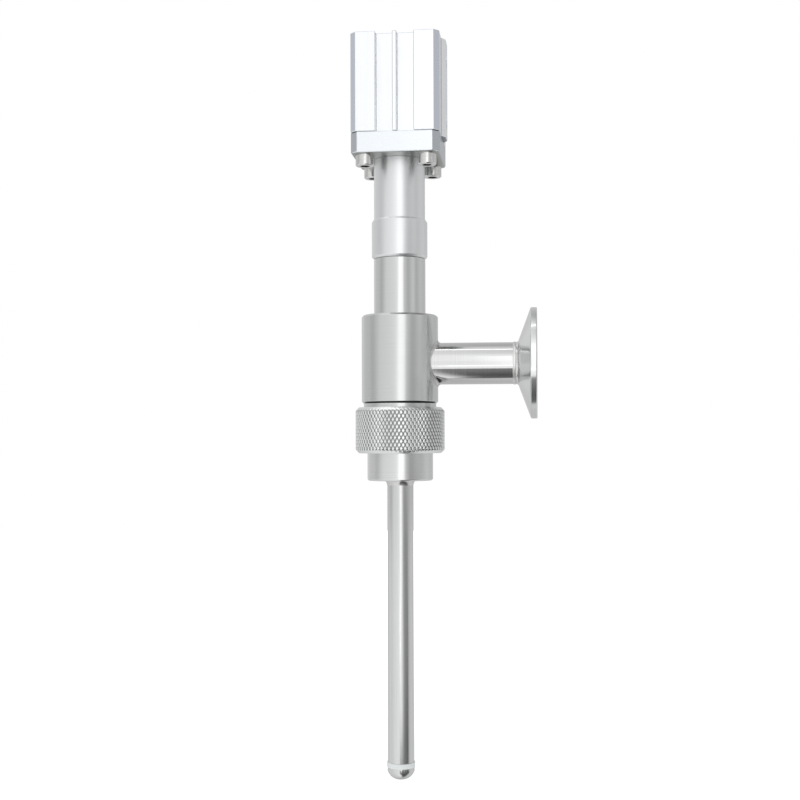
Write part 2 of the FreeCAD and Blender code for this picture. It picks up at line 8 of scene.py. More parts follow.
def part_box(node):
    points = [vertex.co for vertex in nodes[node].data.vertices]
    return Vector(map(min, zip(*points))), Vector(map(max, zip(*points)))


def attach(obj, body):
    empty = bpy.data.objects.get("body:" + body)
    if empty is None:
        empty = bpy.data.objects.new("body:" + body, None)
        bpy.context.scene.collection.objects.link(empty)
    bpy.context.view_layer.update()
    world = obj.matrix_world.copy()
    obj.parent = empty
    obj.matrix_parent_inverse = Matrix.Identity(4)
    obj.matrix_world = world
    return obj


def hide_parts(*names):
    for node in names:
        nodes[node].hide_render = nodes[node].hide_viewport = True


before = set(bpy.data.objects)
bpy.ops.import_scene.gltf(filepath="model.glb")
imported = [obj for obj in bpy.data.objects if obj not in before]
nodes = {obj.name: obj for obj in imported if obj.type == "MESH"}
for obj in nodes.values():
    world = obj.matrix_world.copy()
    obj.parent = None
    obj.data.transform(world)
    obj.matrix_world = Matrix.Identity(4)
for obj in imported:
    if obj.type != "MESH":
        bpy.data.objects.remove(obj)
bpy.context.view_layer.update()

mm = 0.001
print("frame loaded:", len(nodes), "nodes")


def hexColour(code):
    # sRGB hex to the linear colour that Blender's sockets take
    channels = [int(code[i:i + 2], 16) / 255 for i in (1, 3, 5)]
    linear = [c / 12.92 if c <= 0.04045 else ((c + 0.055) / 1.055) ** 2.4 for c in channels]
    return (*linear, 1.0)


def grey(level):
    return (level, level, level, 1.0)


def addNode(tree, kind, settings=None, inputs=None):
    # one shader node: its settings, then the value or the link of each input
    node = tree.nodes.new(kind)
    for name, value in (settings or {}).items():
        setattr(node, name, value)
    for name, source in (inputs or {}).items():
        if isinstance(source, bpy.types.Node):
            source = source.outputs[0]
        if isinstance(source, bpy.types.NodeSocket):
            tree.links.new(source, node.inputs[name])
        else:
            node.inputs[name].default_value = source
    return node


# settings that many nodes share
add = {"operation": "ADD"}
subtract = {"operation": "SUBTRACT"}
multiply = {"operation": "MULTIPLY"}
multiplyAdd = {"operation": "MULTIPLY_ADD"}
absolute = {"operation": "ABSOLUTE"}
smallest = {"operation": "MINIMUM"}
arcTangent = {"operation": "ARCTAN2"}
smooth = {"interpolation_type": "SMOOTHSTEP"}
colourMix = {"data_type": "RGBA"}
# the middle part of a noise texture's values, narrower or wider
narrowSpan = {"From Min": 0.35, "From Max": 0.65}
usualSpan = {"From Min": 0.3, "From Max": 0.7}
wideSpan = {"From Min": 0.25, "From Max": 0.75}
widestSpan = {"From Min": 0.2, "From Max": 0.8}
# how much duller the low spots of a skin are than its middle, and how much glossier the high ones
dullToGlossy = (0.05, -0.04)


def newMaterial(name, look):
    material = bpy.data.materials.new(name)
    material.use_nodes = True
    tree = material.node_tree
    tree.nodes.clear()
    shader = addNode(tree, "ShaderNodeBsdfPrincipled", None, {
        "Base Color": hexColour(look["colour"]),
        "Metallic": look.get("metallic", 0.0),
        "Roughness": look["roughness"]})
    addNode(tree, "ShaderNodeOutputMaterial", None, {"Surface": shader})
    place = addNode(tree, "ShaderNodeTexCoord").outputs["Object"]
    return material, tree, shader, place


# Where the pieces are, from the CAD model
branchZ = sum(corner.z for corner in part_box("inlet_pipe")) / 2
nutLow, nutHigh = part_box("knurled_nut")
nutShape = {
    "teeth": 70,            # diamonds round the nut
    "rows": 6.125,          # diamonds between the plain ends
    "steps": 8,             # mesh steps across a diamond
    "grooveShare": 0.25,    # groove flank as a share of the spacing
    "depth": 0.28 * mm,
    "slantShare": 0.82,     # depth of the grooves that lean left against the others
    "chamfer": 1.6 * mm,
    "plainEnd": 0.55 * mm,  # height at each end that the knurl leaves plain
    "lipRadius": 15.2 * mm,
    "boreRadius": 17.6 * mm,
    "lipHeight": 2.5 * mm,
    "smoothDegrees": 20,    # edges less sharp than this are shaded smooth
}


def aroundAxis(tree, place, axis):
    # a point of a turned piece: how far along its axis, how far from it, and which way round
    parts = addNode(tree, "ShaderNodeSeparateXYZ", None, {"Vector": place}).outputs
    if axis == "Z":
        along, sideA, sideB = parts["Z"], parts["X"], parts["Y"]
    else:
        along, sideA = parts["X"], parts["Y"]
        sideB = addNode(tree, "ShaderNodeMath", subtract, {0: parts["Z"], 1: branchZ})
    squareA = addNode(tree, "ShaderNodeMath", multiply, {0: sideA, 1: sideA})
    squares = addNode(tree, "ShaderNodeMath", multiplyAdd, {0: sideB, 1: sideB, 2: squareA})
    radius = addNode(tree, "ShaderNodeMath", {"operation": "SQRT"}, {0: squares})
    angle = addNode(tree, "ShaderNodeMath", arcTangent, {0: sideB, 1: sideA})
    return along, radius, angle


# Stainless steel of the wetted parts and the yoke
def machinedSteel(name, look):
    # fine marks round or along the piece, a highlight drawn out across them, and a slight
    # unevenness of the polish
    material, tree, shader, place = newMaterial(name, look)
    along, radius = aroundAxis(tree, place, look["axis"])[:2]
    markNoise = {"Scale": 1.0, "Detail": 3.0, "Roughness": 0.6}
    if look["marks"] == "round":
        profile = addNode(tree, "ShaderNodeMath", add, {0: along, 1: radius})
        lines = addNode(tree, "ShaderNodeMath", multiply,
                        {0: profile, 1: 1 / (look["markWidthMm"] * mm)})
        marks = addNode(tree, "ShaderNodeTexNoise", {"noise_dimensions": "1D"},
                        {"W": lines, **markNoise})
    else:
        stretch = [1 / (look["markWidthMm"] * mm)] * 3
        stretch["XYZ".index(look["axis"])] /= look["markStretch"]
        stretched = addNode(tree, "ShaderNodeVectorMath", multiply, {0: place, 1: stretch})
        marks = addNode(tree, "ShaderNodeTexNoise", None, {"Vector": stretched, **markNoise})
    polish = addNode(tree, "ShaderNodeTexNoise", None,
                     {"Vector": place, "Scale": 1 / (look["polishMm"] * mm), "Detail": 2.0})
    fromMarks = addNode(tree, "ShaderNodeMapRange", smooth, {
        "Value": marks, **wideSpan,
        "To Min": look["roughness"] - look["markRoughness"],
        "To Max": look["roughness"] + look["markRoughness"]})
    glossiest, dullest = look["polishRoughness"]
    fromPolish = addNode(tree, "ShaderNodeMapRange", smooth, {
        "Value": polish, **usualSpan, "To Min": glossiest, "To Max": dullest})
    roughness = addNode(tree, "ShaderNodeMath", add, {0: fromMarks, 1: fromPolish})
    tree.links.new(roughness.outputs[0], shader.inputs["Roughness"])
    shade = addNode(tree, "ShaderNodeMapRange", smooth, {"Value": marks, **widestSpan})
    tint = addNode(tree, "ShaderNodeMix", colourMix, {
        0: shade, 6: hexColour(look["darkColour"]), 7: hexColour(look["colour"])}).outputs[2]
    if "paintedRootShade" in look:
        # painted shade: the roots of the knurl are painted dark by depth below the plain nut's
        # surface, in place of the shade that falls in the grooves
        middle = (nutLow.z + nutHigh.z) / 2
        fromMiddle = addNode(tree, "ShaderNodeMath", subtract, {0: along, 1: middle})
        away = addNode(tree, "ShaderNodeMath", absolute, {0: fromMiddle})
        bandEnd = (nutHigh.z - nutLow.z) / 2 - nutShape["chamfer"]
        onChamfer = addNode(tree, "ShaderNodeMath", {**subtract, "use_clamp": True},
                            {0: away, 1: bandEnd})
        below = addNode(tree, "ShaderNodeMath", subtract, {0: nutHigh.x, 1: radius})
        cut = addNode(tree, "ShaderNodeMath", subtract, {0: below, 1: onChamfer})
        low, high = look["paintedRootShade"]["depthMm"]
        filled = addNode(tree, "ShaderNodeMapRange", smooth, {
            "Value": cut, "From Min": low * mm, "From Max": high * mm})
        tint = addNode(tree, "ShaderNodeMix", colourMix, {
            0: filled, 6: tint, 7: hexColour(look["paintedRootShade"]["colour"])}).outputs[2]
    tree.links.new(tint, shader.inputs["Base Color"])
    waves = addNode(tree, "ShaderNodeBump", None, {
        "Height": polish, "Strength": 1.0, "Distance": look["waveDepthMm"] * mm})
    bump = addNode(tree, "ShaderNodeBump", None, {
        "Height": marks, "Strength": 1.0, "Distance": look["markDepthMm"] * mm, "Normal": waves})
    tree.links.new(bump.outputs[0], shader.inputs["Normal"])
    tangent = addNode(tree, "ShaderNodeTangent", {"direction_type": "RADIAL", "axis": look["axis"]})
    shader.inputs["Anisotropic"].default_value = look["anisotropy"]
    # a quarter turn draws the highlight out across marks that run round the piece
    shader.inputs["Anisotropic Rotation"].default_value = 0.25 if look["marks"] == "round" else 0.0
    tree.links.new(tangent.outputs[0], shader.inputs["Tangent"])
    return material


# Real feed marks are about 0.08 mm apart, too fine for the picture, so they are drawn
# 0.35 to 0.6 mm wide and very shallow
fineTurned = {"colour": "#D5D6D6", "darkColour": "#CECFCF", "metallic": 1.0, "roughness": 0.20,
              "axis": "Z", "marks": "round", "markWidthMm": 0.45, "markDepthMm": 0.0012,
              "markRoughness": 0.02, "polishMm": 9, "polishRoughness": (-0.015, 0.02),
              "waveDepthMm": 0.002, "anisotropy": 0.4}
steelLooks = {
    # 316L stainless, fine turned and buffed: clear bands of the room, blurred a little upward
    "fineTurnedStainless": fineTurned,
    # the cone and tube end, buffed more: the same bands, brighter and sharper
    "buffedStainless": {**fineTurned, "colour": "#DDDEDE", "darkColour": "#D6D7D7",
                        "roughness": 0.17},
    # ferrule, turned and polished bright: it mirrors the pipe beside it, a little blurred
    "polishedFerruleStainless": {**fineTurned, "colour": "#E0E1E1", "darkColour": "#DADBDB",
                                 "axis": "X", "roughness": 0.19, "markDepthMm": 0.0005,
                                 "anisotropy": 0.2},
    # yoke, turned and bead blasted: one wide soft highlight, no sharp bands, no marks
    "beadBlastedStainless": {**fineTurned, "colour": "#E8EAEB", "darkColour": "#E6E8E9",
                             "roughness": 0.35, "markWidthMm": 0.6, "markDepthMm": 0.0002,
                             "markRoughness": 0.0, "waveDepthMm": 0.003, "anisotropy": 0.25},
    # seal housing and stem, ground and polished: near mirror
    "groundStainless": {**fineTurned, "colour": "#D8D9D9", "darkColour": "#D2D3D3",
                        "roughness": 0.13, "markDepthMm": 0.0008},
    # nozzle tube, drawn and polished along its length: long faint streaks
    "drawnStainless": {**fineTurned, "marks": "along", "markWidthMm": 0.35, "markStretch": 60.0,
                       "roughness": 0.18, "anisotropy": 0.2},
    # inlet pipe, sanitary tube with its mill polish: mirror with fine rings
    "polishedPipeStainless": {**fineTurned, "axis": "X", "colour": "#D9D9D9",
                              "darkColour": "#D2D3D3", "roughness": 0.10, "markWidthMm": 0.5,
                              "markDepthMm": 0.0006, "anisotropy": 0.25},
    # union nut, knurled with a roller: bright flats, and the roots painted dark as shade
    "knurledStainless": {**fineTurned, "colour": "#E9EAEA", "darkColour": "#E2E3E3",
                         "roughness": 0.24, "markWidthMm": 0.6, "anisotropy": 0.0,
                         "paintedRootShade": {"depthMm": (0.1, 0.28), "colour": "#5E6164"}},
    # piston rod, hard chrome ground: mirror, faintly blue
    "hardChrome": {**fineTurned, "colour": "#D9DADC", "darkColour": "#D3D4D6",
                   "roughness": 0.08, "markDepthMm": 0.0004, "anisotropy": 0.2},
    # rod bush, sintered bronze: brown gold and porous
    "sinteredBronze": {**fineTurned, "colour": "#B08A55", "darkColour": "#8E6B3E",
                       "roughness": 0.42, "markWidthMm": 0.35, "anisotropy": 0.0},
    # cover and piston, turned aluminium: pale, with plain feed rings
    "turnedAluminium": {**fineTurned, "colour": "#E4E6E8", "darkColour": "#DADCDE",
                        "roughness": 0.3, "markWidthMm": 0.35, "markDepthMm": 0.0025,
                        "anisotropy": 0.5},
}
materials = {name: machinedSteel(name, look) for name, look in steelLooks.items()}


# Welds
def weldBead(name, look):
    # the bead's ripples lie across it, softened by the brush
    material, tree, shader, place = newMaterial(name, look)
    angle = aroundAxis(tree, place, look["axis"])[2]
    wobble = addNode(tree, "ShaderNodeTexNoise", None,
                     {"Vector": place, "Scale": 1 / (look["wobbleMm"] * mm), "Detail": 2.0})
    shift = addNode(tree, "ShaderNodeMath", multiply, {0: wobble, 1: look["wobbleShare"]})
    turns = addNode(tree, "ShaderNodeMath", multiplyAdd, {
        0: angle, 1: look["beadRadiusMm"] / look["ripplePitchMm"], 2: shift})
    phase = addNode(tree, "ShaderNodeMath", multiply, {0: turns, 1: math.pi})
    wave = addNode(tree, "ShaderNodeMath", {"operation": "SINE"}, {0: phase})
    ripple = addNode(tree, "ShaderNodeMath", absolute, {0: wave})
    bump = addNode(tree, "ShaderNodeBump", None, {
        "Height": ripple, "Strength": 1.0, "Distance": look["rippleDepthMm"] * mm})
    tree.links.new(bump.outputs[0], shader.inputs["Normal"])
    patch = addNode(tree, "ShaderNodeMapRange", smooth, {"Value": wobble, **narrowSpan})
    tint = addNode(tree, "ShaderNodeMix", colourMix, {
        0: patch, 6: hexColour(look["colour"]), 7: hexColour(look["heatColour"])}).outputs[2]
    tree.links.new(tint, shader.inputs["Base Color"])
    dull, glossy = [look["roughness"] + change for change in dullToGlossy]
    roughness = addNode(tree, "ShaderNodeMapRange", smooth,
                        {"Value": ripple, "To Min": dull, "To Max": glossy})
    tree.links.new(roughness.outputs[0], shader.inputs["Roughness"])
    return material


# the ripples wander by a share of their pitch, over a few millimetres
weldLook = {"colour": "#D2D3D3", "heatColour": "#CDCDCA", "metallic": 1.0, "roughness": 0.22,
            "ripplePitchMm": 0.9, "rippleDepthMm": 0.006, "wobbleMm": 2.5, "wobbleShare": 0.8}
weldLooks = {
    # stainless weld of the tube, pickled and brushed: soft sheen, hardly any heat tint left
    "brushedTubeWeld": {**weldLook, "axis": "Z", "beadRadiusMm": 6.6},
    # stainless weld of the inlet, brushed harder: dull, it blends the pipe into the body
    "brushedPipeWeld": {**weldLook, "axis": "X", "beadRadiusMm": 9.7,
                        "colour": "#D9D9D9", "roughness": 0.48},
    # stainless weld of the ferrule, brushed and passivated: a paler, softly shining ring
    "brushedFerruleWeld": {**weldLook, "axis": "X", "beadRadiusMm": 9.7,
                           "colour": "#E8E8E7", "heatColour": "#E6E6E4", "roughness": 0.4},
}
for name, look in weldLooks.items():
    materials[name] = weldBead(name, look)


# Aluminium of the cylinder
def anodisedAluminium(name, look):
    # a soft white sheen with a fine grain, faint die lines along an extrusion, and painted shade: a
    # thin grey line in the corners of its recesses, and darker chamfers, sides and down-facing ends
    material, tree, shader, place = newMaterial(name, look)
    grain = addNode(tree, "ShaderNodeTexNoise", None,
                    {"Vector": place, "Scale": 1 / (look["grainMm"] * mm), "Detail": 2.0})
    across = 1 / (look["dieWidthMm"] * mm)
    die = [across, across, across / look["dieStretch"]]
    stretched = addNode(tree, "ShaderNodeVectorMath", multiply, {0: place, 1: die})
    lines = addNode(tree, "ShaderNodeTexNoise", None,
                    {"Vector": stretched, "Scale": 1.0, "Detail": 2.0})
    cloud = addNode(tree, "ShaderNodeTexNoise", None,
                    {"Vector": place, "Scale": 1 / (look["cloudMm"] * mm), "Detail": 2.0})
    shade = addNode(tree, "ShaderNodeMapRange", smooth, {"Value": lines, **usualSpan})
    tint = addNode(tree, "ShaderNodeMix", colourMix, {
        0: shade, 6: hexColour(look["darkColour"]), 7: hexColour(look["colour"])}).outputs[2]
    normal = addNode(tree, "ShaderNodeTexCoord").outputs["Normal"]
    facing = addNode(tree, "ShaderNodeSeparateXYZ", None, {"Vector": normal}).outputs
    if "sideShadeColour" in look:
        # painted shade: the left and right sides are painted greyer than the milled faces
        sideways = addNode(tree, "ShaderNodeMath", absolute, {0: facing["X"]})
        low, high = look["sideSpan"]
        sawn = addNode(tree, "ShaderNodeMapRange", smooth,
                       {"Value": sideways, "From Min": low, "From Max": high})
        tint = addNode(tree, "ShaderNodeMix", colourMix, {
            0: sawn, 6: tint, 7: hexColour(look["sideShadeColour"])}).outputs[2]
    # how far the plane of a face lies from the axis
    outward = addNode(tree, "ShaderNodeVectorMath", {"operation": "DOT_PRODUCT"}, {
        0: normal, 1: place}).outputs["Value"]
    if "chamferShadeColour" in look:
        # painted shade: the four long chamfers are painted bluer and darker than the faces; their
        # planes lie farther out than those of the faces
        face, chamfer = look["chamferOffsetMm"]
        onChamfer = addNode(tree, "ShaderNodeMapRange", smooth, {
            "Value": outward, "From Min": face * mm, "From Max": chamfer * mm})
        tint = addNode(tree, "ShaderNodeMix", colourMix, {
            0: onChamfer, 6: tint, 7: hexColour(look["chamferShadeColour"])}).outputs[2]
    # painted shade: the ends that look down are painted darker
    low, high = look["downSpan"]
    down = addNode(tree, "ShaderNodeMapRange", smooth, {
        "Value": facing["Z"], "From Min": low, "From Max": high, "To Min": 1.0, "To Max": 0.0})
    tint = addNode(tree, "ShaderNodeMix", colourMix, {
        0: down, 6: tint, 7: hexColour(look["downShadeColour"])}).outputs[2]
    parts = addNode(tree, "ShaderNodeSeparateXYZ", None, {"Vector": place}).outputs
    nearest = 1.0       # farther off than any line
    for axis, edgeMm, side in look["cornerShadeLines"]:
        fromMiddle = addNode(tree, "ShaderNodeMath", absolute, {0: parts[axis]})
        offset = addNode(tree, "ShaderNodeMath", subtract, {0: fromMiddle, 1: edgeMm * mm})
        distance = addNode(tree, "ShaderNodeMath", absolute, {0: offset})
        # a line across Y is on one side face only
        sided = addNode(tree, "ShaderNodeMath", multiply, {0: parts["X"], 1: side})
        away = addNode(tree, "ShaderNodeMath", {"operation": "LESS_THAN"}, {0: sided, 1: 0.0})
        total = addNode(tree, "ShaderNodeMath", add, {0: distance, 1: away})
        nearest = addNode(tree, "ShaderNodeMath", smallest, {0: nearest, 1: total})
    # painted shade: a thin dark line along the inner corners of the recesses and the foot of the
    # port rail
    if look["cornerShadeLines"]:
        line = addNode(tree, "ShaderNodeMapRange", smooth, {
            "Value": nearest, "From Min": look["lineCoreMm"] * mm,
            "From Max": look["lineWidthMm"] * mm, "To Min": 1.0, "To Max": 0.0})
        # on the long faces only, not on the recess walls or the ends
        onFace = addNode(tree, "ShaderNodeMath", {"operation": "GREATER_THAN"},
                         {0: outward, 1: look["recessOffsetMm"] * mm})
        upright = addNode(tree, "ShaderNodeMath", absolute, {0: facing["Z"]})
        onSide = addNode(tree, "ShaderNodeMath", {"operation": "LESS_THAN"},
                         {0: upright, 1: look["uprightLimit"]})
        drawn = addNode(tree, "ShaderNodeMath", multiply, {0: line, 1: onSide})
        drawn = addNode(tree, "ShaderNodeMath", multiply, {0: drawn, 1: onFace})
        tint = addNode(tree, "ShaderNodeMix", colourMix, {
            0: drawn, 6: tint, 7: hexColour(look["cornerShadeColour"])}).outputs[2]
    tree.links.new(tint, shader.inputs["Base Color"])
    fromGrain = addNode(tree, "ShaderNodeMapRange", smooth, {
        "Value": grain, **usualSpan,
        "To Min": look["roughness"] - look["grainRoughness"],
        "To Max": look["roughness"] + look["grainRoughness"]})
    fromCloud = addNode(tree, "ShaderNodeMapRange", smooth, {
        "Value": cloud, **usualSpan,
        "To Min": -look["cloudRoughness"], "To Max": look["cloudRoughness"]})
    roughness = addNode(tree, "ShaderNodeMath", add, {0: fromGrain, 1: fromCloud})
    tree.links.new(roughness.outputs[0], shader.inputs["Roughness"])
    dieHeight = addNode(tree, "ShaderNodeMath", multiply, {0: lines, 1: look["lineDepthMm"]})
    height = addNode(tree, "ShaderNodeMath", multiplyAdd, {
        0: grain, 1: look["grainDepthMm"], 2: dieHeight})
    bump = addNode(tree, "ShaderNodeBump", None,
                   {"Height": height, "Strength": 1.0, "Distance": mm})
    tree.links.new(bump.outputs[0], shader.inputs["Normal"])
    return material


# the etched grain is about 0.05 mm, drawn at 0.5 mm or more so that it shows
anodised = {"metallic": 1.0, "grainDepthMm": 0.0002, "grainRoughness": 0.015,
            "cloudMm": 14, "cloudRoughness": 0.03, "dieWidthMm": 0.6,
            # how much of the normal is along X on a side, and along Z on an end that looks down
            "sideSpan": (0.5, 0.8), "downSpan": (-0.9, -0.6)}
anodisedLooks = {
    # barrel, extruded, etched and clear anodised: near white and satin
    "anodisedExtrusion": {**anodised, "colour": "#F0F2F4", "darkColour": "#EDEFF2",
                          # the down-facing end is painted darker as shade
                          "downShadeColour": "#8A8F95", "roughness": 0.29, "grainMm": 0.5,
                          "lineDepthMm": 0.0006, "dieStretch": 80.0,
                          # the chamfers are painted bluer and darker as shade
                          "chamferShadeColour": "#DCE2EC", "chamferOffsetMm": (23, 25),
                          # the corner lines are painted shade
                          # across which axis, how far from the middle, on which side
                          "cornerShadeLines": [("X", 0.9, 0), ("X", 8.6, 0), ("Y", 0.9, -1),
                                          ("Y", 8.6, -1), ("Y", 7.2, 1)],
                          "lineCoreMm": 0.06, "lineWidthMm": 0.24, "cornerShadeColour": "#5F636A",
                          # faces with lines are farther out than this, and upright
                          "recessOffsetMm": 12, "uprightLimit": 0.5},
    # front plate, milled, etched and clear anodised: the same, slightly greyer; its down-facing
    # underside is painted darker as shade
    "anodisedPlate": {**anodised, "colour": "#EAEEF1", "darkColour": "#E7EBEF",
                      # the sides are painted greyer as shade
                      "downShadeColour": "#A8ABA8", "sideShadeColour": "#BCC2C8",
                      "roughness": 0.30, "grainMm": 0.8,
                      "lineDepthMm": 0.0, "dieStretch": 1.0, "cornerShadeLines": []},
}
for name, look in anodisedLooks.items():
    materials[name] = anodisedAluminium(name, look)


# Screws, spring steel, plastics, rubber and magnet
def mottledSkin(name, look):
    # a base colour with a fine mottle in tint, gloss and height
    material, tree, shader, place = newMaterial(name, look)
    mottle = addNode(tree, "ShaderNodeTexNoise", None, {
        "Vector": place, "Scale": 1 / (look["grainMm"] * mm), "Detail": 4.0, "Roughness": 0.6})
    spread = addNode(tree, "ShaderNodeMapRange", smooth, {"Value": mottle, **usualSpan})
    tint = addNode(tree, "ShaderNodeMix", colourMix, {
        0: spread, 6: hexColour(look["darkColour"]), 7: hexColour(look["colour"])}).outputs[2]
    tree.links.new(tint, shader.inputs["Base Color"])
    dull, glossy = [look["roughness"] + change for change in dullToGlossy]
    roughness = addNode(tree, "ShaderNodeMapRange", smooth,
                        {"Value": mottle, **usualSpan, "To Min": dull, "To Max": glossy})
    tree.links.new(roughness.outputs[0], shader.inputs["Roughness"])
    bump = addNode(tree, "ShaderNodeBump", None, {
        "Height": mottle, "Strength": 1.0, "Distance": look["grainDepthMm"] * mm})
    tree.links.new(bump.outputs[0], shader.inputs["Normal"])
    for socket, value in look.get("extra", {}).items():
        shader.inputs[socket].default_value = value
    return material


mottledLooks = {
    # socket screws, stainless, cold headed and tumbled: bright bands, a trace of mottle
    "coldHeadedStainless": {"colour": "#DCDCDB", "darkColour": "#CFCFCE", "metallic": 1.0,
                            "roughness": 0.16, "grainMm": 0.9, "grainDepthMm": 0.004},
    # circlip, spring steel, phosphated and oiled: near black with a soft gloss
    "phosphatedSpringSteel": {"colour": "#4A4B4D", "darkColour": "#38393B", "metallic": 0.8,
                              "roughness": 0.42, "grainMm": 0.3, "grainDepthMm": 0.006},
    # seals, PTFE turned from bar: milky white and waxy
    "turnedPtfe": {"colour": "#F1F5F5", "darkColour": "#ECF1F1", "roughness": 0.38,
                   "grainMm": 0.6, "grainDepthMm": 0.006, "extra": {"IOR": 1.35}},
    # glide rings, nylon, moulded undyed: cream, slightly glossy
    "mouldedNylon": {"colour": "#E8E3D2", "darkColour": "#DED8C4", "roughness": 0.34,
                     "grainMm": 0.8, "grainDepthMm": 0.004, "extra": {"IOR": 1.53}},
    # o-rings and bumpers, nitrile rubber, moulded: black with a dull bloom
    "mouldedNitrile": {"colour": "#262628", "darkColour": "#1D1D1F", "roughness": 0.55,
                       "grainMm": 0.4, "grainDepthMm": 0.008, "extra": {"IOR": 1.52}},
    # piston magnet, bonded ferrite: matt charcoal
    "bondedFerrite": {"colour": "#3A3A3D", "darkColour": "#2E2E31", "roughness": 0.6,
                      "grainMm": 0.2, "grainDepthMm": 0.006, "extra": {"IOR": 1.6}},
}
for name, look in mottledLooks.items():
    materials[name] = mottledSkin(name, look)
print("materials made:", len(materials))


# What each CAD node is made of
finishOf = {
    "nozzle_tube": "drawnStainless", "tube_weld": "brushedTubeWeld",
    "nozzle_head": "buffedStainless", "head_o_ring": "mouldedNitrile",
    "knurled_nut": "knurledStainless", "glide_ring": "mouldedNylon",
    "valve_body": "fineTurnedStainless", "inlet_pipe": "polishedPipeStainless",
    "inlet_weld": "brushedPipeWeld", "inlet_ferrule": "polishedFerruleStainless",
    "ferrule_weld": "brushedFerruleWeld", "seal_housing": "groundStainless",
    "stem_bush": "turnedPtfe", "packing_rings": "turnedPtfe",
    "packing_follower": "fineTurnedStainless", "gland_nut": "fineTurnedStainless",
    "yoke_tube": "beadBlastedStainless", "front_plate": "anodisedPlate",
    "plate_o_ring": "mouldedNitrile", "rod_seal": "mouldedNitrile", "rod_bush": "sinteredBronze",
    "front_bumper": "mouldedNitrile", "cap_screws": "coldHeadedStainless",
    "cylinder_barrel": "anodisedExtrusion", "rear_cover": "turnedAluminium",
    "rear_o_ring": "mouldedNitrile", "rear_circlip": "phosphatedSpringSteel",
    "rear_bumper": "mouldedNitrile", "piston": "turnedAluminium", "magnet_ring": "bondedFerrite",
    "piston_seal": "mouldedNitrile", "wear_ring": "mouldedNylon", "piston_rod": "hardChrome",
    "rod_lock_nut": "coldHeadedStainless", "valve_stem": "groundStainless",
    "stem_guide_lower": "turnedPtfe", "stem_guide_upper": "turnedPtfe",
    "seal_ring": "turnedPtfe", "plug_tip": "fineTurnedStainless",
}
# widths of the broken edges, in millimetres; a real edge is never sharp and catches the light
edgeBreaks = {
    "nozzle_tube": 0.1, "nozzle_head": 0.12, "valve_body": 0.12, "inlet_ferrule": 0.12,
    "seal_housing": 0.1, "yoke_tube": 0.12, "front_plate": 0.15, "cap_screws": 0.2,
    "cylinder_barrel": 0.3, "rear_cover": 0.12, "rear_circlip": 0.08, "seal_ring": 0.08,
    "plug_tip": 0.1, "gland_nut": 0.12, "rod_lock_nut": 0.12,
}
# points closer than joinWithin are one; edges that turn less than leastTurn degrees aren't broken
edgeShape = {"joinWithin": 0.001 * mm, "segments": 2, "leastTurn": 35, "faceWeight": 100}
for name, node in nodes.items():
    node.data.materials.clear()
    node.data.materials.append(materials[finishOf[name]])
    if name in edgeBreaks:
        weld = node.modifiers.new("joinFaces", "WELD")
        weld.merge_threshold = edgeShape["joinWithin"]
        bevel = node.modifiers.new("brokenEdges", "BEVEL")
        bevel.width = edgeBreaks[name] * mm
        bevel.segments = edgeShape["segments"]
        bevel.limit_method = "ANGLE"
        bevel.angle_limit = math.radians(edgeShape["leastTurn"])
        # keeps the long faces next to a broken edge flat in the light
        even = node.modifiers.new("evenNormals", "WEIGHTED_NORMAL")
        even.weight = edgeShape["faceWeight"]
        even.keep_sharp = True
print("finishes set on", len(finishOf), "nodes")


